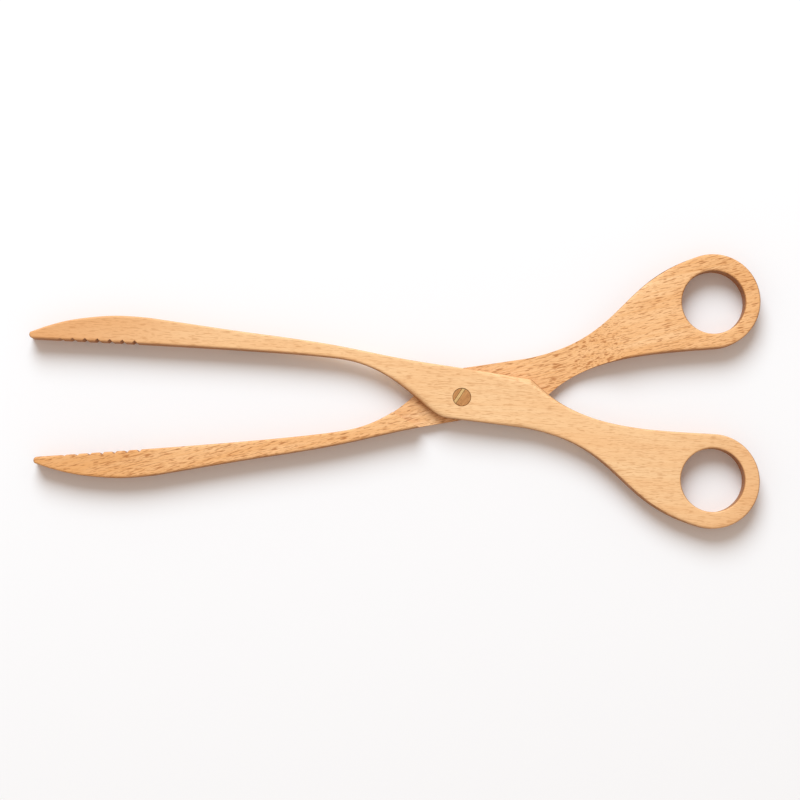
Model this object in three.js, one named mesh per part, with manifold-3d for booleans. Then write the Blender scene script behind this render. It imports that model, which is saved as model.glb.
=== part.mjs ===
// Wooden scissor tongs: two mirrored beech arms, half-lapped where they cross, that turn on a wedged dowel.
// Millimetres and degrees. The tongs lie flat: +Z is up, the jaws point along -X and the finger rings along +X.
// Each arm is drawn in its own frame: its hub's middle is the origin, its jaw runs along -X, its ring along +X,
// and the jaw's toothed inner edge meets the X axis at the tip, so the X axis is the line the closed jaws meet on.

import * as THREE from "three";
import { mergeVertices } from "three/addons/utils/BufferGeometryUtils.js";
import Module from "manifold-3d";

// ---------------------------------------------------------------- driving sizes

const restOpening = 15.8; // angle between the arms' closing lines as they lie
const armThickness = 9;
const edgeRound = 0.8; // rounding of the arms' long edges and of the finger holes

const jawReach = 178; // hub middle to jaw tip
const jawWidth = 10.9; // at the belly
const jawLift = 3.5; // inner edge off the closing line at the belly, so that the tips meet first
const bellyFromTip = 46;
const noseRadius = 1.5;

const neckReach = 52; // hub middle to the slimmest place
const neckWidth = 5;
const neckLift = 8; // inner edge off the closing line at the neck

const hubWidth = 21.1;
const cornerReach = 28.3; // hub middle to the hub's sharp corner
const cornerCut = 7.6; // straight length that falls from the corner to the handle
const cornerSlope = -35;
const heelReach = 28; // hub middle to where the handle's outer edge starts to swing out

const handleReach = 106.9; // hub middle to the finger hole's middle, along X
const handleDrop = 22; // and across it
const fingerHole = 26; // diameter
const ringWall = 6.3;
const holeOffset = 0.5; // the finger hole is this far off the ring's middle, towards the other handle
const innerTangent = 94; // the handle's inner edge leaves the ring this far round from the far end
const outerTangent = 100; // and its outer edge this far round on the other side
const innerPull = [23.5, 25]; // how far the inner edge keeps straight on, at the hub and at the ring
const outerPull = [41.5, 36.8]; // and the outer edge
const heelSlope = -3.4;

const toothCount = 7;
const toothPitch = 5.1;
const toothFromTip = 12.9; // tip to the first notch
const toothMouth = 2.1;
const toothDepth = 1.15;
const leadInShares = [0.4, 0.7, 0.9]; // the notches nearest the tip are shallower

const dowelDiameter = 7.4;
const dowelInset = 0.2; // how far both ends of the dowel lie under the arms' faces
const boreOffset = 1.5; // the bore is this far off the hub's middle line, on the front arm's toothed side
const boreSkew = 1.1; // and this far along it: towards the ring in the front arm, towards the jaw in the rear arm
const wedgeThickness = 1.2; // at its outer end
const wedgeTaper = 0.6; // thickness lost on the way in
const wedgeStop = 0.3; // the wedge ends this far above the middle of the lap
const wedgeTurn = 56; // direction of the wedge across the dowel's end, from +X
const wedgeOffset = 1.2; // the wedge is this far off the dowel's middle, on the jaws' side

const lapClearance = 0.3; // between the two lap faces
const boreClearance = 0.15; // radial, round the dowel
const wedgeClearance = 0.12; // each side of the wedge in its kerf
const lapMargin = 2; // the laps stay flat this far past the place where the closed handles cross
const lapRunOut = 21; // length of the slope back to full thickness on the handle
const backRampStart = 100; // front arm's back leaves full thickness this far from the hub, on the jaw side
const backRampEnd = 40; // and has reached the lap face here
const shoulderReach = 25.2; // rear arm's shoulder: hub middle to where it crosses the arm's middle
const shoulderLift = 7.2;
const shoulderSlope = 37.3; // direction of the shoulder, turned from the X axis

// ---------------------------------------------------------------- derived sizes

const ringRadius = fingerHole / 2 + ringWall;
const holeCentre = new THREE.Vector2(handleReach, -handleDrop);
const ringCentre = new THREE.Vector2(handleReach, -handleDrop - holeOffset);
const tipX = -jawReach;
const lapHeight = armThickness / 2;
const boreRadius = dowelDiameter / 2 + boreClearance;
const wedgeDepth = lapHeight - dowelInset - wedgeStop;
const past = 5; // how far a cutter stands out of what it cuts
const wide = 4 * (jawReach + handleReach); // larger than the tongs in any direction

const outlineSteps = { short: 4, curve: 16, edge: 26, ring: 44, hole: 48, dowel: 48 };

// ---------------------------------------------------------------- solids by cutting and joining

const wasm = await Module();
wasm.setup();

function solidOf(geometry) {
  const bare = geometry.index ? geometry.toNonIndexed() : geometry.clone();
  bare.deleteAttribute("normal");
  bare.deleteAttribute("uv");
  const merged = mergeVertices(bare, 1e-4);
  return new wasm.Manifold(
    new wasm.Mesh({
      numProp: 3,
      vertProperties: merged.attributes.position.array,
      triVerts: new Uint32Array(merged.index.array),
    }),
  );
}

function geometryOf(solid) {
  const mesh = solid.getMesh();
  const geometry = new THREE.BufferGeometry();
  geometry.setAttribute("position", new THREE.BufferAttribute(mesh.vertProperties, 3));
  geometry.setIndex(new THREE.BufferAttribute(mesh.triVerts, 1));
  const faceted = geometry.toNonIndexed();
  faceted.computeVertexNormals();
  return faceted;
}

// A prism that stands on a plan outline, from one height to another.
function prism(points, low, high) {
  const geometry = new THREE.ExtrudeGeometry(new THREE.Shape(points), {
    depth: high - low,
    bevelEnabled: false,
  });
  return geometry.translate(0, 0, low);
}

// A prism whose outline is drawn in X and Z, and which runs across the whole width in Y.
function sideProfile(points) {
  const outline = points.map(([x, z]) => new THREE.Vector2(x, z));
  const geometry = new THREE.ExtrudeGeometry(new THREE.Shape(outline), { depth: wide, bevelEnabled: false });
  return geometry.rotateX(Math.PI / 2).translate(0, wide / 2, 0);
}

function cylinder(radius, low, high) {
  const geometry = new THREE.CylinderGeometry(radius, radius, high - low, outlineSteps.dowel);
  return geometry.rotateX(Math.PI / 2).translate(0, 0, (low + high) / 2);
}

// ---------------------------------------------------------------- arm outline

function point(x, y) {
  return new THREE.Vector2(x, y);
}

function onRing(degrees) {
  const angle = THREE.MathUtils.degToRad(degrees);
  return point(Math.cos(angle), Math.sin(angle)).multiplyScalar(ringRadius).add(ringCentre);
}

function heading(degrees) {
  const angle = THREE.MathUtils.degToRad(degrees);
  return point(Math.cos(angle), Math.sin(angle));
}

// From the hub's lower edge up the flank to the neck, level at both ends.
function flankCurve() {
  const foot = point(-4, -hubWidth / 2);
  const neck = point(-neckReach, neckLift);
  return new THREE.CubicBezierCurve(foot, point(-14, foot.y), point(-25, neck.y), neck);
}

// The toothed inner edge, from the neck to the nose.
function innerJawCurve() {
  const neck = point(-neckReach, neckLift);
  const nose = point(tipX + noseRadius, 0.1);
  return new THREE.CubicBezierCurve(neck, point(neck.x - 25, neck.y), point(tipX + 45, jawLift), nose);
}

function noseArc() {
  return new THREE.EllipseCurve(tipX + noseRadius, noseRadius + 0.1, noseRadius, noseRadius, -Math.PI / 2,
    THREE.MathUtils.degToRad(140), true);
}

// The outer edge: over the belly, along the shank and onto the hub. Belly points are millimetres from the tip
// and shares of the belly's height.
function outerJawCurve() {
  const top = jawLift + jawWidth;
  const belly = [[6, 0.38], [14, 0.61], [23, 0.79], [34, 0.94], [bellyFromTip, 1], [58, 0.99], [84, 0.955]];
  const points = belly.map(([along, share]) => point(tipX + along, top * share));
  points.push(point(-neckReach - 20, neckLift + neckWidth + 0.6));
  points.push(point(-neckReach, neckLift + neckWidth));
  points.push(point(-26, hubWidth / 2 + 0.6));
  points.push(point(-8, hubWidth / 2));
  return new THREE.SplineCurve(points);
}

function hubCorner() {
  return point(cornerReach, hubWidth / 2 - 0.8);
}

function cornerCutEnd() {
  return hubCorner().addScaledVector(heading(cornerSlope), cornerCut);
}

// The handle's inner edge, from the end of the corner's straight cut to the ring.
function innerHandleCurve() {
  const start = cornerCutEnd();
  const end = onRing(innerTangent);
  const leave = start.clone().addScaledVector(heading(cornerSlope), innerPull[0]);
  const arrive = end.clone().addScaledVector(heading(innerTangent - 90), -innerPull[1]);
  return new THREE.CubicBezierCurve(start, leave, arrive, end);
}

// The handle's outer edge, from the ring back to the heel.
function outerHandleCurve() {
  const start = onRing(-outerTangent);
  const end = point(heelReach, -hubWidth / 2);
  const leave = start.clone().addScaledVector(heading(90 - outerTangent), -outerPull[1]);
  const arrive = end.clone().addScaledVector(heading(heelSlope), outerPull[0]);
  return new THREE.CubicBezierCurve(start, leave, arrive, end);
}

function armOutline() {
  const start = THREE.MathUtils.degToRad(innerTangent);
  const end = THREE.MathUtils.degToRad(-outerTangent);
  const ring = new THREE.EllipseCurve(ringCentre.x, ringCentre.y, ringRadius, ringRadius, start, end, true);
  const runs = [
    [flankCurve(), outlineSteps.curve],
    [innerJawCurve(), outlineSteps.edge],
    [noseArc(), outlineSteps.short],
    [outerJawCurve(), 2 * outlineSteps.edge],
    [new THREE.LineCurve(hubCorner(), cornerCutEnd()), outlineSteps.short],
    [innerHandleCurve(), outlineSteps.curve],
    [ring, outlineSteps.ring],
    [outerHandleCurve(), outlineSteps.edge],
  ];
  const points = runs.flatMap(([curve, steps]) => curve.getPoints(steps));
  return points.filter((p, i) => p.distanceTo(points[(i + 1) % points.length]) > 1e-3);
}

// The whole arm at full thickness, with its finger hole and rounded edges.
function armBlank() {
  const shape = new THREE.Shape(armOutline());
  const hole = new THREE.Path();
  hole.absarc(holeCentre.x, holeCentre.y, fingerHole / 2, 0, 2 * Math.PI);
  shape.holes.push(new THREE.Path(hole.getPoints(outlineSteps.hole / 2).slice(1)));
  const geometry = new THREE.ExtrudeGeometry(shape, {
    depth: armThickness - 2 * edgeRound,
    bevelThickness: edgeRound,
    bevelSize: edgeRound,
    bevelOffset: -edgeRound,
    bevelSegments: 2,
  });
  return geometry.translate(0, 0, edgeRound);
}

// One V notch for each tooth gap, set square to the inner edge.
function toothNotches() {
  const edge = innerJawCurve();
  const length = edge.getLength();
  return Array.from({ length: toothCount }, (_, i) => {
    const along = 1 - (toothFromTip - noseRadius + i * toothPitch) / length;
    const at = edge.getPointAt(along);
    const tangent = edge.getTangentAt(along);
    const inward = point(tangent.y, -tangent.x);
    const depth = toothDepth * (leadInShares[i] ?? 1);
    const flare = (past + depth) / depth;
    const apex = at.clone().addScaledVector(inward, depth);
    const mouth = [1, -1].map((side) =>
      apex.clone()
        .addScaledVector(inward, -depth * flare)
        .addScaledVector(tangent, (side * flare * toothMouth) / 2));
    return prism([apex, ...mouth], -past, armThickness + past);
  });
}

// ---------------------------------------------------------------- laps

// On the closed tongs the handles' inner edges cross where one of them meets the closing line.
function lapReach() {
  const crossing = innerHandleCurve().getPoints(200).find((p) => p.y <= 0);
  return crossing.x + lapMargin;
}

// What is taken off the front arm's back: a long slope from the jaw, the flat lap, and a short run-out.
function backLapCutter() {
  const face = lapHeight + lapClearance / 2;
  const flatEnd = lapReach();
  return sideProfile([
    [-backRampStart, 0],
    [-backRampEnd, face],
    [flatEnd, face],
    [flatEnd + lapRunOut, 0],
    [flatEnd + lapRunOut, -past],
    [-backRampStart, -past],
  ]);
}

// What is taken off the rear arm's front: from a slanting square shoulder to the same run-out on the handle.
function frontLapCutter() {
  const face = lapHeight - lapClearance / 2;
  const flatEnd = lapReach();
  const trench = solidOf(sideProfile([
    [-wide, face],
    [-wide, armThickness + past],
    [flatEnd + lapRunOut, armThickness + past],
    [flatEnd + lapRunOut, armThickness],
    [flatEnd, face],
  ]));
  const along = heading(shoulderSlope);
  const middle = point(-shoulderReach, shoulderLift);
  const near = middle.clone().addScaledVector(along, wide);
  const far = middle.clone().addScaledVector(along, -wide);
  const side = point(along.y, -along.x).multiplyScalar(wide);
  const keep = prism([far, near, near.clone().add(side), far.clone().add(side)], -past, 2 * armThickness);
  return trench.intersect(solidOf(keep));
}

// ---------------------------------------------------------------- sub-parts

function cutArm(lap, boreX, boreY) {
  const bore = cylinder(boreRadius, -past, armThickness + past).translate(boreX, boreY, 0);
  let arm = solidOf(armBlank());
  for (const notch of toothNotches()) arm = arm.subtract(solidOf(notch));
  return arm.subtract(lap).subtract(solidOf(bore));
}

// Both arms come back with their bore's axis on the Z axis.
function frontArm() {
  const drawn = cutArm(solidOf(backLapCutter()), boreSkew, -boreOffset);
  return geometryOf(drawn).translate(-boreSkew, boreOffset, 0);
}

// Drawn like the front arm, then mirrored across the X axis.
function rearArm() {
  const drawn = cutArm(frontLapCutter(), -boreSkew, boreOffset).mirror([0, 1, 0]);
  return geometryOf(drawn).translate(boreSkew, boreOffset, 0);
}

function wedgeSection(grow, top, bottom) {
  const half = wedgeThickness / 2 + grow;
  return sideProfile([
    [-half, top],
    [-half + wedgeTaper / 2, bottom],
    [half - wedgeTaper / 2, bottom],
    [half, top],
  ]).translate(-wedgeOffset, 0, 0);
}

const dowelLow = dowelInset;
const dowelHigh = armThickness - dowelInset;

function pivotDowel() {
  const round = solidOf(cylinder(dowelDiameter / 2, dowelLow, dowelHigh));
  const kerf = solidOf(wedgeSection(wedgeClearance, dowelHigh + 1e-3, dowelHigh - wedgeDepth - wedgeClearance));
  return geometryOf(round.subtract(kerf));
}

function dowelWedge() {
  const round = solidOf(cylinder(dowelDiameter / 2, dowelLow, dowelHigh));
  return geometryOf(round.intersect(solidOf(wedgeSection(0, dowelHigh, dowelHigh - wedgeDepth))));
}

// ---------------------------------------------------------------- materials and assembly

const oiledBeech = { color: 0xeab981, roughness: 0.6, metalness: 0 };
const pinkBeech = { color: 0xe6ad72, roughness: 0.62, metalness: 0 };
const endGrain = { color: 0xa9794a, roughness: 0.7, metalness: 0 };
const paleWedge = { color: 0xd8ab78, roughness: 0.7, metalness: 0 };

function piece(name, geometry, finish) {
  const mesh = new THREE.Mesh(geometry, new THREE.MeshStandardMaterial(finish));
  mesh.name = name;
  return mesh;
}

// Turned about the bore by half the resting opening.
function turned(degrees, ...meshes) {
  const group = new THREE.Group();
  group.rotation.z = THREE.MathUtils.degToRad(degrees);
  group.add(...meshes);
  return group;
}

const tongs = new THREE.Group();
tongs.add(
  turned(-restOpening / 2, piece("front_arm", frontArm(), oiledBeech)),
  turned(restOpening / 2, piece("rear_arm", rearArm(), pinkBeech)),
  turned(wedgeTurn - 90, piece("pivot_dowel", pivotDowel(), endGrain), piece("dowel_wedge", dowelWedge(), paleWedge)),
);

// The frame's origin is under the middle of the whole object, on the surface that it lies on.
const extent = new THREE.Box3().setFromObject(tongs, true);
const middle = extent.getCenter(new THREE.Vector3());
tongs.position.set(-middle.x, -middle.y, -extent.min.z);

export default tongs;
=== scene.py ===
"""Wooden scissor tongs: finely rounded beech arms, their dowel and its wedge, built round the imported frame.

Outlines are in millimetres, in each arm's own drawn frame: the hub's middle is the origin, the jaw runs
along -X with its toothed inner edge on the -Y side, and the finger ring lies along +X. Meshes end up in
metres.
"""

import math

import bmesh
import bpy
import numpy as np
from mathutils import Matrix, Vector


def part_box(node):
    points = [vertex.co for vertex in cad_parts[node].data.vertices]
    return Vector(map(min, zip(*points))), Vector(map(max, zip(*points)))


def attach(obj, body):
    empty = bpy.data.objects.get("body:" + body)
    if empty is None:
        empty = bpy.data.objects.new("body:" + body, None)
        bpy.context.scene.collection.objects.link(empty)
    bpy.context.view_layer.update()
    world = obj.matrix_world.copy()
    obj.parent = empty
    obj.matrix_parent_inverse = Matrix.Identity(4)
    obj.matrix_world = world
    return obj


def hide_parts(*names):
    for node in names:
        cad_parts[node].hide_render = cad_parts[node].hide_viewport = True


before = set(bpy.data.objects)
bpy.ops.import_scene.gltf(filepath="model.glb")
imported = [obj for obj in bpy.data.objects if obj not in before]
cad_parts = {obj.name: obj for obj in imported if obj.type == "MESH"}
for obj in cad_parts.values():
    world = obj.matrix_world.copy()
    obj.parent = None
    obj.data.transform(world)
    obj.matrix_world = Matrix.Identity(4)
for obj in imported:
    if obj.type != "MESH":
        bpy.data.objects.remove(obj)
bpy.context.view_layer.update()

MM = 0.001

# ---------------------------------------------------------------- sizes of the arms (mm, degrees)

REST_OPENING = 15.8  # between the arms' closing lines
THICK = 9.0
EDGE_ROUND = 0.8

JAW_REACH = 178.0
JAW_WIDTH = 10.9
JAW_LIFT = 3.5
JAW_PULL = (25.0, 45.0)  # how far the toothed edge keeps straight on, at the neck and at the tip
TIP_LIFT = 0.1
NOSE_RADIUS = 1.5
NOSE_END = 140.0  # the nose's arc runs from straight down round to here
NECK = np.array([-52.0, 8.0])
NECK_WIDTH = 5.0
SHANK_SWELL = 0.6  # how far the outer edge stands out on either side of the neck
FLANK_PULL = (10.0, 27.0)  # how far the flank keeps straight on, at the hub's foot and at the neck

HUB_WIDTH = 21.1
CORNER_DROP = 0.8
CORNER = np.array([28.3, HUB_WIDTH / 2 - CORNER_DROP])
CORNER_CUT = 7.6
CORNER_SLOPE = -35.0
# Worn places of the front face: where, how far the wear reaches, and how much it adds to the rounding.
WEAR = ((CORNER, 24.0, 2.4), (np.array([-17.0, -4.5]), 17.0, 1.8))
HEEL = np.array([28.0, -HUB_WIDTH / 2])
FOOT = np.array([-4.0, -HUB_WIDTH / 2])

HOLE = np.array([106.9, -22.0])
HOLE_RADIUS = 13.0
HOLE_OFFSET = 0.5  # of the hole from the ring's middle, inwards
RING_WALL = 6.3
RING = HOLE - np.array([0.0, HOLE_OFFSET])
RING_RADIUS = HOLE_RADIUS + RING_WALL
INNER_TANGENT = 94.0  # the handle's edges leave the ring this far round from its far end
OUTER_TANGENT = 100.0
INNER_PULL = (23.5, 25.0)  # how far the handle's inner edge keeps straight on, at the hub and at the ring
OUTER_PULL = (41.5, 36.8)  # and its outer edge
HEEL_SLOPE = -3.4

TOOTH_COUNT = 7
TOOTH_PITCH = 5.1
TOOTH_FROM_TIP = 12.9
TOOTH_MOUTH = 2.1
TOOTH_DEPTH = 1.15
LEAD_IN = (0.4, 0.7, 0.9)  # depth shares of the notches nearest the tip

BORE_OFFSET = 1.5
BORE_SKEW = 1.1
BORE_GAP = 0.1  # radial, round the dowel
LAP_GAP = 0.3
LAP_MARGIN = 2.0
LAP_RUN_OUT = 21.0
BACK_RAMP = (-100.0, -40.0)
SHOULDER = np.array([-25.2, 7.2])
SHOULDER_SLOPE = 37.3

WEDGE_TURN = 56.0
WEDGE_OFFSET = 1.2  # off the dowel's middle, on the jaws' side
WEDGE_THICK = 1.2
WEDGE_TAPER = 0.6
WEDGE_DEPTH = 4.0
WEDGE_GAP = 0.1

low_corner, high_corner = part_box("pivot_dowel")
PIVOT = np.array([*((low_corner + high_corner) / 2 / MM)[:2], 0])
DOWEL_LOW, DOWEL_HIGH = low_corner.z / MM, high_corner.z / MM
DOWEL_RADIUS = (high_corner.x - low_corner.x) / 2 / MM

# ---------------------------------------------------------------- plane curves


def heading(degrees):
    return np.array([math.cos(math.radians(degrees)), math.sin(math.radians(degrees))])


def on_ring(degrees):
    return RING + RING_RADIUS * heading(degrees)


def bezier(a, b, c, d, steps):
    """Points of a cubic: its four corners weighted by the Bernstein polynomials of t."""
    t = np.linspace(0, 1, steps + 1)[:, None]
    s = 1 - t
    return s**3 * a + 3 * s * s * t * b + 3 * s * t * t * c + t**3 * d


def smooth_through(points, steps):
    """A uniform Catmull-Rom curve through all the points, with both end points doubled."""
    p = np.array(points, float)
    p = np.vstack([p[:1], p, p[-1:]])
    t = np.linspace(0, len(points) - 1, steps + 1)
    i = np.minimum(t.astype(int), len(points) - 2)
    t = (t - i)[:, None]
    a, b, c, d = p[i], p[i + 1], p[i + 2], p[i + 3]
    v, w = (c - a) / 2, (d - b) / 2
    return (2 * b - 2 * c + v + w) * t**3 + (3 * c - 3 * b - 2 * v - w) * t * t + v * t + b


def arc(centre, radius, start, end, steps):
    """Points of a circle at even angles from start to end."""
    a = np.radians(np.linspace(start, end, steps + 1))[:, None]
    return centre + radius * np.hstack([np.cos(a), np.sin(a)])


def joined(*runs):
    """Runs of points as one polyline, with repeated points dropped."""
    p = np.vstack(runs)
    return p[np.r_[True, np.hypot(*np.diff(p, axis=0).T) > 1e-4]]


def lengths_along(line):
    return np.r_[0, np.cumsum(np.hypot(*np.diff(line, axis=0).T))]


def at_lengths(line, lengths):
    """Points at the given distances along a polyline."""
    s = lengths_along(line)
    return np.stack([np.interp(lengths, s, line[:, 0]), np.interp(lengths, s, line[:, 1])], 1)


# ---------------------------------------------------------------- the arm's edges


def inner_jaw():
    """The toothed edge, from the neck to the nose."""
    nose_foot = np.array([-JAW_REACH + NOSE_RADIUS, TIP_LIFT])
    arrive = np.array([-JAW_REACH + JAW_PULL[1], JAW_LIFT])
    return bezier(NECK, NECK - [JAW_PULL[0], 0], arrive, nose_foot, 400)


def nose():
    """From the inner edge round the tip to the outer edge."""
    centre = np.array([-JAW_REACH + NOSE_RADIUS, NOSE_RADIUS + TIP_LIFT])
    return arc(centre, NOSE_RADIUS, 270, NOSE_END, 40)


def inner_handle():
    """From the end of the corner's cut to the ring."""
    start = CORNER + CORNER_CUT * heading(CORNER_SLOPE)
    end = on_ring(INNER_TANGENT)
    leave = start + INNER_PULL[0] * heading(CORNER_SLOPE)
    arrive = end - INNER_PULL[1] * heading(INNER_TANGENT - 90)
    return bezier(start, leave, arrive, end, 160)


def lower_edge():
    """Nose to ring along the inner jaw, the flank, the hub's underside and the handle's outer edge."""
    flank = bezier(FOOT, FOOT - [FLANK_PULL[0], 0], NECK + [FLANK_PULL[1], 0], NECK, 120)
    end = on_ring(-OUTER_TANGENT)
    leave = HEEL + OUTER_PULL[0] * heading(HEEL_SLOPE)
    handle = bezier(HEEL, leave, end - OUTER_PULL[1] * heading(90 - OUTER_TANGENT), end, 200)
    return joined(inner_jaw()[::-1], flank[::-1], handle)


def upper_edge():
    """Nose to ring over the belly, along the shank, across the hub, down the cut and along the handle."""
    top = JAW_LIFT + JAW_WIDTH
    belly = [(6, 0.38), (14, 0.61), (23, 0.79), (34, 0.94), (46, 1), (58, 0.99), (84, 0.955)]
    points = [(-JAW_REACH + from_tip, top * share) for from_tip, share in belly]
    points += [NECK + [-20, NECK_WIDTH + SHANK_SWELL], NECK + [0, NECK_WIDTH]]
    points += [(-26, HUB_WIDTH / 2 + SHANK_SWELL), (-8, HUB_WIDTH / 2)]
    return joined(nose()[-1:], smooth_through(points, 500), CORNER[None], inner_handle())


def ring_arc(start, end, steps):
    return arc(RING, RING_RADIUS, start, end, steps)


def lap_end():
    """Where the flat of the laps ends: a margin past the crossing of the closed handles."""
    line = inner_handle()
    return line[np.argmax(line[:, 1] <= 0), 0] + LAP_MARGIN


# ---------------------------------------------------------------- heights over the arm's plan


def edge_distance(points):
    """Distance of each point to the nearest of the outline, notches left out, and the finger hole's edge."""
    line = joined(lower_edge()[::-1], nose(), upper_edge())
    a, b = line[:-1], np.diff(line, axis=0)
    flat = points.reshape(-1, 2)
    found = []
    for part in np.array_split(flat, max(1, len(flat) // 1500)):
        q = part[:, None] - a
        t = np.clip((q * b).sum(-1) / (b * b).sum(-1), 0, 1)
        found.append(np.sqrt(((q - t[..., None] * b) ** 2).sum(-1).min(1)))
    d = np.concatenate(found)
    d = np.minimum(d, np.abs(np.hypot(*(flat - HOLE).T) - HOLE_RADIUS))
    out = flat - RING
    angle = np.degrees(np.arctan2(out[:, 1], out[:, 0]))
    free = (angle <= INNER_TANGENT) & (angle >= -OUTER_TANGENT)
    d = np.where(free, np.minimum(d, np.abs(RING_RADIUS - np.hypot(*out.T))), d)
    return d.reshape(points.shape[:-1])


def rounding(distance, radius=EDGE_ROUND):
    """Height lost near an edge: r - sqrt(r^2 - (r - d)^2) at a distance d below r, and nothing further in."""
    inside = np.clip(radius - distance, 0, radius)
    return radius - np.sqrt(radius**2 - inside**2)


def faces_of(points, front, jaw_side=False):
    """Heights of the back and the front face: the laps' planes and slopes, lowered by the roundings."""
    distance = edge_distance(points)
    lost = rounding(distance)
    x = points[..., 0]
    end = lap_end()
    if front:
        lap = THICK / 2 + LAP_GAP / 2
        relief = np.interp(x, [*BACK_RAMP, end, end + LAP_RUN_OUT], [0, lap, lap, 0])
        radius = EDGE_ROUND
        for place, reach, extra in WEAR:
            away = np.hypot(*np.moveaxis(points - place, -1, 0))
            radius = radius + extra * np.clip(1 - away / reach, 0, 1)
        return np.maximum(relief, lost), THICK - rounding(distance, radius)
    floor = THICK / 2 - LAP_GAP / 2
    recess = np.interp(x, [end, end + LAP_RUN_OUT], [floor, THICK])
    return lost, np.minimum(np.where(jaw_side, THICK, recess), THICK - lost)


# ---------------------------------------------------------------- mesh helpers


class Surface:
    """Gathers grids of points into one closed mesh."""

    def __init__(self):
        self.points, self.faces, self.count = [], [], 0

    def add(self, grid, keep=None):
        """One face for each cell of a grid of points, apart from the cells that keep marks False."""
        rows, columns = grid.shape[:2]
        n = self.count + np.arange(rows * columns).reshape(rows, columns)
        cells = np.stack([n[:-1, :-1], n[1:, :-1], n[1:, 1:], n[:-1, 1:]], -1)
        self.faces.append(cells.reshape(-1, 4) if keep is None else cells[keep])
        self.points.append(grid.reshape(-1, 3))
        self.count += rows * columns

    def made(self, name, place, sharp=33.0):
        """The mesh object: placed, scaled to metres, doubles merged, faces turned out, creases marked."""
        mesh = bpy.data.meshes.new(name)
        vertices = place(np.concatenate(self.points)) * MM
        mesh.from_pydata(vertices.tolist(), [], np.concatenate(self.faces).tolist())
        work = bmesh.new()
        work.from_mesh(mesh)
        bmesh.ops.remove_doubles(work, verts=work.verts, dist=1e-6)
        bmesh.ops.recalc_face_normals(work, faces=work.faces)
        work.to_mesh(mesh)
        work.free()
        mesh.polygons.foreach_set("use_smooth", np.ones(len(mesh.polygons), bool))
        mesh.set_sharp_from_angle(angle=math.radians(sharp))
        item = bpy.data.objects.new(name, mesh)
        bpy.context.scene.collection.objects.link(item)
        return item


def raised(plan, height):
    """A plan of points with its heights as the third coordinate."""
    return np.concatenate([plan, np.broadcast_to(height, plan.shape[:-1])[..., None]], -1)


# ---------------------------------------------------------------- the arm's surface

ROUND_ROWS = EDGE_ROUND * (1 - np.cos(np.linspace(0, math.pi / 2, 7)))  # even steps round the quarter circle
MIDDLE_ROWS = 21
LINE_STEP = 0.75  # between cross lines
NOSE_BLEND = 6.0  # length over which the cross lines leave the nose's shape
RING_BLEND = 46.0  # and take on the ring's
BORE_PATCH = 5.8  # half the side of the opening in the strip round the bore
RING_COLUMNS = 66
NARROWEST = 0.45  # the edge rows take at most this share of a cross line
SHOULDER_REACH = 15.0  # the shoulder crosses both edges within this distance of its middle
LEVEL_AT = -75.0  # a cross line stands upright here, between the teeth and the neck


def shoulder_meets(line):
    """Distance along an edge at which the shoulder's line crosses it."""
    along = heading(SHOULDER_SLOPE)
    side = (line - SHOULDER) @ np.array([-along[1], along[0]])
    near = np.abs(line[:, 0] - SHOULDER[0]) < SHOULDER_REACH
    i = np.nonzero((np.sign(side[:-1]) != np.sign(side[1:])) & near[:-1])[0][0]
    s = lengths_along(line)
    return s[i] + (s[i + 1] - s[i]) * side[i] / (side[i] - side[i + 1])


def line_stations(low, high):
    """Distances along both edges at which the cross lines start and end, the number of the shoulder's line
    and the distances of the notches."""
    s_low, s_high = lengths_along(low), lengths_along(high)
    teeth = TOOTH_FROM_TIP - NOSE_RADIUS + TOOTH_PITCH * np.arange(TOOTH_COUNT)
    upright = [teeth[-1] + TOOTH_PITCH, np.interp(LEVEL_AT, low[:, 0], s_low)]
    upright_high = np.interp(at_lengths(low, upright)[:, 0], high[:, 0], s_high)
    corner_low = np.interp(CORNER[0], low[:, 0], s_low)
    corner_high = np.interp(CORNER[0], high[:, 0], s_high)
    ties_low = [0, *upright, shoulder_meets(low), corner_low, s_low[-1]]
    ties_high = [0, *upright_high, shoulder_meets(high), corner_high, s_high[-1]]
    mouths = (teeth[:, None] + TOOTH_MOUTH * np.array([-0.5, 0, 0.5])).ravel()
    marks = [*ROUND_ROWS, *mouths, *ties_low[1:]]
    runs = [np.linspace(a, b, 1 + math.ceil((b - a) / LINE_STEP))[:-1] for a, b in zip(marks, marks[1:])]
    lengths = np.r_[np.concatenate(runs), marks[-1]]
    shoulder = int(np.argmin(np.abs(lengths - ties_low[3])))
    return lengths, np.interp(lengths, ties_low, ties_high), shoulder, teeth


def notched(low, lengths, teeth):
    """Points of the lower edge, pushed inwards by a V at each notch."""
    at = at_lengths(low, lengths)
    ahead = at_lengths(low, lengths + 0.2) - at_lengths(low, lengths - 0.2)
    inward = np.stack([-ahead[:, 1], ahead[:, 0]], 1) / np.hypot(*ahead.T)[:, None]
    depth = TOOTH_DEPTH * np.r_[LEAD_IN, np.ones(TOOTH_COUNT - len(LEAD_IN))]
    push = depth * (1 - np.abs(lengths[:, None] - teeth) / (TOOTH_MOUTH / 2))
    return at + inward * push.max(1).clip(0)[:, None]


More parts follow.
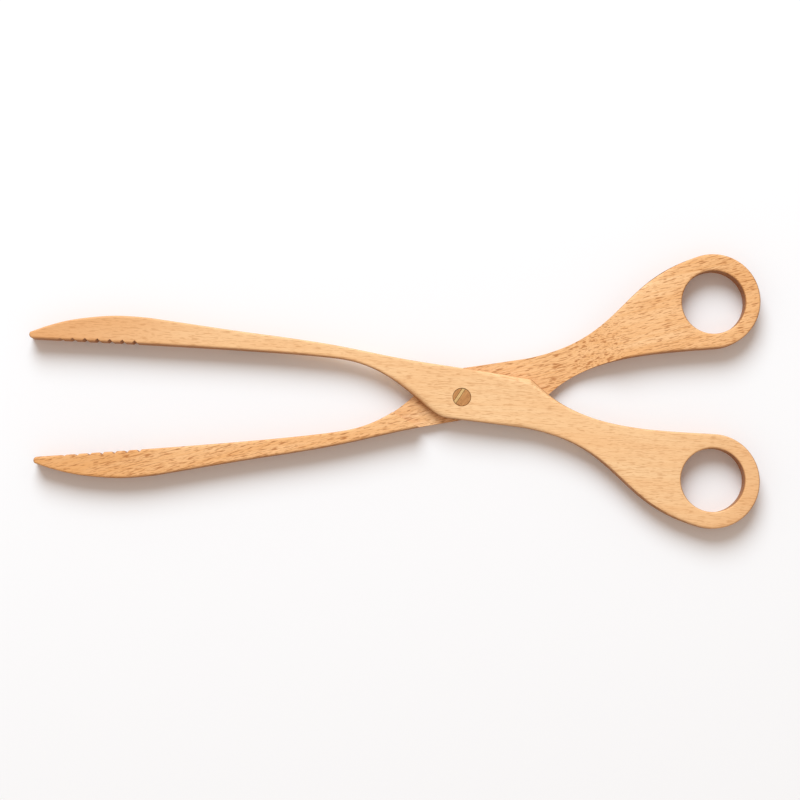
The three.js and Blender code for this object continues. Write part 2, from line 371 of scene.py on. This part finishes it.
def strip_plan(low, high, lengths_low, lengths_high, teeth):
    """Cross lines from edge to edge, close together near both, bent at the nose and round the ring."""
    lower, upper = notched(low, lengths_low, teeth), at_lengths(high, lengths_high)
    width = np.hypot(*(upper - lower).T)[:, None]
    near = np.minimum(ROUND_ROWS, width * NARROWEST * ROUND_ROWS / EDGE_ROUND)
    middle = np.linspace(near[:, -1], width[:, 0] - near[:, -1], MIDDLE_ROWS + 2, axis=1)[:, 1:-1]
    across = (np.hstack([near, middle, width - near[:, ::-1]]) / width)[..., None]
    plan = lower[:, None] * (1 - across) + upper[:, None] * across

    tip = at_lengths(nose(), across[0, :, 0] * lengths_along(nose())[-1])
    leave = np.clip(1 - lengths_low / NOSE_BLEND, 0, 1) ** 2
    plan += leave[:, None, None] * (tip - plan[0])

    side = ring_arc(-OUTER_TANGENT, INNER_TANGENT - 360, 400)
    total = lengths_along(side)[-1]
    drift = np.sqrt(2 * RING_RADIUS * ROUND_ROWS)  # along the arc, where the edge is this far away
    between_them = np.linspace(drift[-1], total - drift[-1], MIDDLE_ROWS + 2)[1:-1]
    places = np.r_[drift, between_them, total - drift[::-1]]
    arrive = np.clip(1 - (lengths_low[-1] - lengths_low) / RING_BLEND, 0, 1) ** 2
    return plan + arrive[:, None, None] * (at_lengths(side, places) - plan[-1])


def opening_for_bore(plan, bore):
    """The block of the strip's lines and rows that the bore's patch takes the place of."""
    line = np.nonzero(np.abs(plan[:, ROUND_ROWS.size + MIDDLE_ROWS // 2, 0] - bore[0]) < BORE_PATCH)[0]
    middle = plan[(line[0] + line[-1]) // 2, :, 1]
    row = np.nonzero(np.abs(middle - bore[1]) < BORE_PATCH)[0]
    return line[0], line[-1], row[0], row[-1]


def arm(name, front, place):
    """One arm. A strip of cross lines covers it from the nose to the near side of the ring, a polar patch
    fills the strip's opening round the bore, another one is the ring, and walls join both faces at every
    edge."""
    low, high = lower_edge(), upper_edge()
    lengths_low, lengths_high, shoulder, teeth = line_stations(low, high)
    if not front:  # the shoulder's line stands twice: at the face, and at the floor below it
        lengths_low = np.insert(lengths_low, shoulder, lengths_low[shoulder])
        lengths_high = np.insert(lengths_high, shoulder, lengths_high[shoulder])
    plan = strip_plan(low, high, lengths_low, lengths_high, teeth)
    jaw_side = (np.arange(len(plan)) <= shoulder)[:, None]
    bore = np.array([BORE_SKEW, -BORE_OFFSET]) if front else np.array([-BORE_SKEW, BORE_OFFSET])
    i, j, k, m = opening_for_bore(plan, bore)
    keep = np.ones((len(plan) - 1, plan.shape[1] - 1), bool)
    keep[i:j, k:m] = False

    frame_loop = np.vstack([plan[i:j, k], plan[j, k:m], plan[j:i:-1, m], plan[i, m:k:-1], plan[i, k][None]])
    spoke = frame_loop - bore
    rim = bore + (DOWEL_RADIUS + BORE_GAP) * spoke / np.hypot(*spoke.T)[:, None]
    share = np.array([0, 0.12, 0.35, 0.65, 1])[:, None, None]
    bore_patch = rim * (1 - share) + frame_loop * share

    free = ring_arc(INNER_TANGENT, -OUTER_TANGENT, RING_COLUMNS)
    outer = np.vstack([plan[-1], free[1:]])
    spoke = outer - RING
    inner = HOLE + HOLE_RADIUS * spoke / np.hypot(*spoke.T)[:, None]
    wall = np.hypot(*(outer - inner).T)[:, None]
    near = np.tile(ROUND_ROWS, (len(wall), 1))
    rows = np.hstack([near, wall * [0.35, 0.5, 0.65], wall - near[:, ::-1]])
    share = (rows / wall).T[..., None]
    ring_patch = inner * (1 - share) + outer * share

    surface = Surface()
    floor = THICK / 2 - LAP_GAP / 2
    patches = (plan, jaw_side, keep), (bore_patch, False, None), (ring_patch, False, None)
    for points, side, cells in patches:
        for height in faces_of(points, front, side):
            surface.add(raised(points, height), cells)
    edges = [(plan[:, 0], jaw_side[:, 0]), (plan[:, -1], jaw_side[:, 0]), (plan[0], True)]
    edges += [(ring_patch[-1, plan.shape[1] - 1:], False), (ring_patch[0], False), (bore_patch[0], False)]
    for line, side in edges:
        back, face = faces_of(line, front, side)
        levels = [back, np.clip(floor, back, face), face]
        surface.add(np.stack([raised(line, level) for level in levels]))
    return surface.made(name, place)


def turned(degrees, points):
    """Points turned about the Z axis."""
    a = math.radians(degrees)
    x, y, z = np.moveaxis(points, -1, 0)
    return np.stack([x * math.cos(a) - y * math.sin(a), x * math.sin(a) + y * math.cos(a), z], -1)


def place_front(points):
    return PIVOT + turned(-REST_OPENING / 2, points - [BORE_SKEW, -BORE_OFFSET, 0])


def place_rear(points):
    """Mirrored across the X axis, then turned the other way."""
    return PIVOT + turned(REST_OPENING / 2, points * [1, -1, 1] - [-BORE_SKEW, -BORE_OFFSET, 0])


def place_pin(points):
    return PIVOT + turned(WEDGE_TURN - 90, points)


# ---------------------------------------------------------------- dowel and wedge

PIN_ROUND = 0.25  # worn edge of the dowel's ends
PIN_ROWS = 41
WEDGE_SHORT = 0.08  # how far the wedge's ends stay inside the dowel
WEDGE_COLUMNS, WEDGE_ROWS = 7, 25


def disc_plan(across, rows):
    """Chords of the dowel's round section at the given distances from its middle, each cut into rows."""
    half = np.sqrt(np.clip(DOWEL_RADIUS**2 - across**2, 0, None))
    return np.stack([np.broadcast_to(across[:, None], (len(across), len(rows))), half[:, None] * rows], -1)


def pin_loss(plan):
    """Height lost at the dowel's worn edge: a quarter circle of the radius PIN_ROUND."""
    inside = np.clip(PIN_ROUND - (DOWEL_RADIUS - np.hypot(plan[..., 0], plan[..., 1])), 0, PIN_ROUND)
    return PIN_ROUND - np.sqrt(PIN_ROUND**2 - inside**2)


def dowel():
    """A round pin over chords that lie along its kerf. The kerf's two side lines stand twice, so that its
    walls are upright, and its floor lies just under the wedge."""
    side = WEDGE_THICK / 2 + WEDGE_GAP
    kerf = np.array([-side, 0, side]) - WEDGE_OFFSET
    ends = np.arccos(-kerf[[0, 2]] / DOWEL_RADIUS)
    left = -DOWEL_RADIUS * np.cos(np.linspace(0, ends[0], 22))
    right = -DOWEL_RADIUS * np.cos(np.linspace(ends[1], math.pi, 30))
    across = np.r_[left, kerf, right]
    in_kerf = np.zeros(len(across), bool)
    in_kerf[len(left):len(left) + 3] = True
    rows = np.sin(np.linspace(-math.pi / 2, math.pi / 2, PIN_ROWS))
    plan = disc_plan(across, rows)
    loss = pin_loss(plan)
    floor = DOWEL_HIGH - WEDGE_DEPTH - WEDGE_GAP
    top = np.where(in_kerf[:, None], floor, DOWEL_HIGH - loss)
    bottom = DOWEL_LOW + loss
    surface = Surface()
    surface.add(raised(plan, top))
    surface.add(raised(plan, bottom))
    for row in (0, -1):
        levels = [bottom[:, row], np.clip(floor, None, top[:, row]), top[:, row]]
        surface.add(np.stack([raised(plan[:, row], level) for level in levels]))
    return surface.made("dowel_pin", place_pin)


def wedge():
    """A slip of wood between two chords of the dowel, thinning downwards: a block of points at a few
    depths, whose six sides are its surface."""
    down = np.array([0, 0.05, 0.15, 1, 2, 3, WEDGE_DEPTH - 0.05, WEDGE_DEPTH])
    worn = np.array([0.12, 0.04, 0, 0, 0, 0, 0, 0.05])
    half = WEDGE_THICK / 2 - WEDGE_TAPER / 2 * down / WEDGE_DEPTH - worn
    reach = DOWEL_RADIUS - WEDGE_SHORT - worn
    across = np.linspace(-1, 1, WEDGE_COLUMNS) * half[:, None] - WEDGE_OFFSET
    along = np.sqrt(reach[:, None] ** 2 - across**2)[..., None] * np.linspace(-1, 1, WEDGE_ROWS)
    plan = np.stack([np.broadcast_to(across[..., None], along.shape), along], -1)
    height = np.broadcast_to((DOWEL_HIGH - down)[:, None, None], plan.shape[:3])
    block = raised(plan, height)
    surface = Surface()
    for side in (block[0], block[-1], block[:, 0], block[:, -1], block[:, :, 0], block[:, :, -1]):
        surface.add(side)
    return surface.made("dowel_slip", place_pin)


# ---------------------------------------------------------------- materials


def colour(code):
    """An sRGB hex value as linear RGBA."""
    srgb = np.array([int(code[i:i + 2], 16) for i in (0, 2, 4)]) / 255
    linear = np.where(srgb <= 0.04045, srgb / 12.92, ((srgb + 0.055) / 1.055) ** 2.4)
    return (*linear, 1.0)


class Nodes:
    """A material's node tree, with one helper that adds a node."""

    def __init__(self, name):
        self.material = bpy.data.materials.new(name)
        self.material.use_nodes = True
        self.tree = self.material.node_tree
        self.shader = self.tree.nodes["Principled BSDF"]

    def add(self, kind, inputs, settings=None, stops=()):
        """A node of a kind, with its settings, its inputs and, on a colour ramp, its stops."""
        node = self.tree.nodes.new("ShaderNode" + kind)
        for key, value in (settings or {}).items():
            setattr(node, key, value)
        for element, (place, shade) in zip(node.color_ramp.elements if stops else (), stops):
            element.position, element.color = place, shade
        self.feed(node, inputs)
        return node

    def feed(self, node, inputs):
        """Links a socket given as an input, and sets any other value."""
        for key, value in inputs.items():
            if isinstance(value, bpy.types.NodeSocket):
                self.tree.links.new(value, node.inputs[key])
            else:
                node.inputs[key].default_value = value


MIX = {"data_type": "RGBA"}
FACTOR, FIRST, SECOND, MIXED = 0, 6, 7, 2  # sockets of a colour mix


def grey(value):
    return (value, value, value, 1.0)


def between(low, high, top=1.0):
    """Stops of a ramp that is black up to low and this bright from high on."""
    return [(low, grey(0)), (high, grey(top))]


def finer(*grain):
    """Mapping scales at which a noise's grains are this many millimetres long on each axis."""
    return tuple(1 / (size * MM) for size in grain)


HELD = (75, 185)  # distances from the pivot (mm) between which the wood grows darker from handling
DRIFT = 0.14  # how strongly flecks and pores crowd together


def sawn_beech(name, turn, shift, tones, fleck, streak):
    """Steamed beech, sawn, sanded and oiled: even warm tan with faint long growth bands, fine dark pore
    dashes and the short broken flecks of its rays, which give it its speckled look along the grain. The
    ends, which are handled most, have drunk more oil and are darker. The side walls and the steep part of
    each rounding are darkened with painted shade, most where they face along X. The oil leaves a low satin
    sheen."""
    n = Nodes(name)
    place = n.add("TexCoord", {}).outputs["Object"]
    board = n.add("Mapping", {
        "Vector": place, "Rotation": (0, 0, math.radians(-turn)), "Location": shift}).outputs[0]

    # Lengths along the board and widths across it, in millimetres. Each grain is shifted from the others.
    noises = {}
    for at, (kind, length, width, detail, harshness) in enumerate((
            ("cloud", 60, 9, 2.0, 0.5),  # slow drift of tone over the board
            ("band", 80, 1.6, 3.0, 0.6),  # growth bands
            ("fibre", 7, 0.4, 3.0, 0.65),  # fibres, drawn 0.4 mm wide: real ones are too fine to show
            ("dash", 2.6, 0.3, 1.0, 0.5),  # pores, drawn 0.3 mm wide for the same reason
            ("ray", 4.2, 0.5, 1.5, 0.5),  # ray flecks, 2 to 4 mm long and up to 0.5 mm wide
            ("crowd", 25, 7, 1.0, 0.5))):  # flecks stand in drifts
        scaled = n.add("Mapping", {
            "Vector": board, "Location": (at * 3.1, at * 5.3, 0),
            "Scale": finer(length, width, width)}).outputs[0]
        noises[kind] = n.add("TexNoise", {
            "Vector": scaled, "Scale": 1.0, "Detail": detail, "Roughness": harshness}).outputs["Fac"]

    offset = n.add("VectorMath", {0: place, 1: tuple(PIVOT * MM)}, {"operation": "SUBTRACT"}).outputs[0]
    away = n.add("VectorMath", {0: offset}, {"operation": "LENGTH"}).outputs["Value"]
    ends = n.add("MapRange", {
        "Value": away, "From Min": HELD[0] * MM, "From Max": HELD[1] * MM, "To Max": 0.7},
        {"interpolation_type": "SMOOTHSTEP"}).outputs[0]
    plus = {"operation": "MULTIPLY_ADD"}
    rays = n.add("Math", {0: noises["crowd"], 1: DRIFT, 2: noises["ray"]}, plus).outputs[0]
    dashes = n.add("Math", {0: noises["crowd"], 1: DRIFT, 2: noises["dash"]}, plus).outputs[0]
    normal = n.add("SeparateXYZ", {0: n.add("TexCoord", {}).outputs["Normal"]}).outputs
    # Painted shade: steep faces take the wall tone, more where they face along X.
    level = n.add("Math", {0: normal["Z"]}, {"operation": "ABSOLUTE"}).outputs[0]
    endwise_painted_shade = n.add("Math", {0: normal["X"]}, {"operation": "ABSOLUTE"}).outputs[0]

    shade = n.add("ValToRGB", {"Fac": noises["cloud"]}, stops=[
        (0.3, colour(tones["pale"])), (0.7, colour(tones["warm"]))]).outputs[0]
    shade = n.add("Mix", {FACTOR: ends, FIRST: shade, SECOND: colour(tones["end"])}, MIX).outputs[MIXED]
    for amount, stops, tone in (
            (noises["band"], between(0.4, 0.75, streak), "band"),
            (noises["fibre"], between(0.45, 0.75, streak), "fibre"),
            (dashes, between(0.63, 0.73, fleck * 0.6), "fleck"),
            (rays, between(0.635, 0.7, fleck), "fleck"),
            # the wall tone on steep faces is painted shade
            (level, [(0.1, grey(0.8)), (0.65, grey(0))], "wall"),
            (endwise_painted_shade, between(0.3, 0.8, 0.7), "wall")):
        share = n.add("ValToRGB", {"Fac": amount}, stops=stops).outputs[0]
        shade = n.add("Mix", {FACTOR: share, FIRST: shade, SECOND: colour(tones[tone])}, MIX).outputs[MIXED]

    fibre = noises["fibre"]
    bump = n.add("Bump", {"Strength": 0.25, "Distance": 0.08 * MM, "Height": fibre}).outputs[0]
    rough = n.add("ValToRGB", {"Fac": fibre}, stops=[(0.3, grey(0.47)), (0.7, grey(0.58))]).outputs[0]
    n.feed(n.shader, {"Base Color": shade, "Roughness": rough, "Normal": bump, "Specular IOR Level": 0.25})
    return n.material


def end_grain(name, centre, tones):
    """Oiled end grain, sawn across: darker than the arms, because it drinks more oil, and matt, with streaks
    of growth rings and fine dark pores."""
    n = Nodes(name)
    place = n.add("TexCoord", {}).outputs["Object"]
    local = n.add("Mapping", {"Vector": place, "Location": tuple(-centre * MM)}).outputs[0]
    along = n.add("Mapping", {"Vector": local, "Rotation": (0, 0, math.radians(-WEDGE_TURN))}).outputs[0]
    rings = n.add("Mapping", {"Vector": along, "Scale": finer(6.5, 0.8, 5)}).outputs[0]
    ring = n.add("TexNoise", {"Vector": rings, "Scale": 1.0, "Detail": 2.0, "Roughness": 0.6}).outputs["Fac"]
    pores = n.add("Mapping", {"Vector": local, "Scale": finer(0.5, 0.5, 0.5)}).outputs[0]
    pore = n.add("TexNoise", {"Vector": pores, "Scale": 1.0, "Detail": 1.0}).outputs["Fac"]
    early, late, dark = (colour(tone) for tone in tones)
    base = n.add("ValToRGB", {"Fac": ring}, stops=[(0.35, early), (0.65, late)]).outputs[0]
    dots = n.add("ValToRGB", {"Fac": pore}, stops=between(0.55, 0.75, 0.5)).outputs[0]
    shade = n.add("Mix", {FACTOR: dots, FIRST: base, SECOND: dark}, MIX).outputs[MIXED]
    bump = n.add("Bump", {"Strength": 0.3, "Distance": 0.1 * MM, "Height": pore}).outputs[0]
    n.feed(n.shader, {"Base Color": shade, "Roughness": 0.62, "Normal": bump, "Specular IOR Level": 0.3})
    return n.material


def finish(item, material):
    item.data.materials.clear()
    item.data.materials.append(material)


# ---------------------------------------------------------------- the object

front_arm = arm("front_arm_beech", True, place_front)
rear_arm = arm("rear_arm_beech", False, place_rear)
pin = dowel()
slip = wedge()

# Each arm's board was cut a few degrees off its arm, and from its own place in the wood.
# Each arm's "wall" tone is painted shade for its side walls.
finish(front_arm, sawn_beech("oiled_beech_front", -REST_OPENING / 2 + 4, (0.13, 0.02, 0), {
    "pale": "FACF9C", "warm": "F6C48E", "end": "DC975A", "band": "E8AE74",
    "fibre": "DDA066", "fleck": "B8753A", "wall": "A0622E"}, fleck=0.35, streak=0.35))
finish(rear_arm, sawn_beech("oiled_beech_rear", REST_OPENING / 2 + 5, (0.42, 0.31, 0), {
    "pale": "FDCD98", "warm": "F5BC82", "end": "E2A05E", "band": "E8A662",
    "fibre": "D9944E", "fleck": "B06A32", "wall": "9C5E2A"}, fleck=0.75, streak=0.5))
finish(pin, end_grain("dowel_end_grain", PIVOT, ("CF955A", "B67C47", "784A20")))
finish(slip, end_grain("wedge_wood", PIVOT, ("E0BB80", "D0A668", "A07440")))

for piece, body, node, slot in (
        (rear_arm, "rear", "rear_arm", "rear_beech"), (front_arm, "front", "front_arm", "front_beech"),
        (pin, "front", "pivot_dowel", "dowel_end_grain"), (slip, "front", "dowel_wedge", "wedge_wood")):
    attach(piece, body)
    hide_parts(node)

# ---------------------------------------------------------------- floor, light and camera


def floor():
    """A plain table top under the tongs, of matt white card: bright and even, with only a trace of sheen."""
    mesh = bpy.data.meshes.new("table_top")
    reach = 3.0
    corners = [(-reach, -reach, 0), (reach, -reach, 0), (reach, reach, 0), (-reach, reach, 0)]
    mesh.from_pydata(corners, [], [(0, 1, 2, 3)])
    item = bpy.data.objects.new("table_top", mesh)
    bpy.context.scene.collection.objects.link(item)
    n = Nodes("matt_white_card")
    n.feed(n.shader, {"Base Color": colour("F7F6F6"), "Roughness": 0.9, "Specular IOR Level": 0.1})
    finish(item, n.material)
    return item


floor()


def room(tone, strength):
    """Even light from all round, a little warm, as from the pale walls of a studio."""
    world = bpy.data.worlds.new("studio")
    world.use_nodes = True
    sky = world.node_tree.nodes["Background"]
    sky.inputs["Color"].default_value = colour(tone)
    sky.inputs["Strength"].default_value = strength
    bpy.context.scene.world = world


def window_light(tone, azimuth, height, spread, strength):
    """Soft daylight from a round window of this angular size, at an azimuth from +Y towards -X and a height
    above the table, in degrees. Its strength is the irradiance that it gives face on, and it is far enough
    to fall off only a little over the tongs."""
    away = 3.0
    light = bpy.data.lights.new("window", "AREA")
    light.shape = "DISK"
    light.size = 2 * away * math.tan(math.radians(spread / 2))
    light.energy = strength * math.pi * away**2
    light.color = colour(tone)[:3]
    item = bpy.data.objects.new("window", light)
    swing = Matrix.Rotation(math.radians(azimuth), 4, "Z")
    lean = Matrix.Rotation(math.radians(height - 90), 4, "X")
    item.matrix_world = swing @ lean @ Matrix.Translation((0, 0, away))
    bpy.context.scene.collection.objects.link(item)


room("FFEFE2", strength=0.54)
window_light("E8F5FF", azimuth=10, height=43, spread=38, strength=3.4)


def camera():
    """Looks down at the tongs from a little towards their front arm's ring side."""
    away, tilt, roll = 0.9, math.radians(3.8), math.radians(-0.54)
    look = Vector((0.0017, -0.0026, 0.009))
    data = bpy.data.cameras.new("camera")
    data.sensor_width = 36
    data.lens = 99.1
    item = bpy.data.objects.new("camera", data)
    turn = Matrix.Rotation(tilt, 4, "X") @ Matrix.Rotation(roll, 4, "Z")
    item.matrix_world = Matrix.Translation(look) @ turn @ Matrix.Translation((0, 0, away))
    bpy.context.scene.collection.objects.link(item)
    bpy.context.scene.camera = item


camera()
bpy.context.scene.view_settings.view_transform = "Standard"
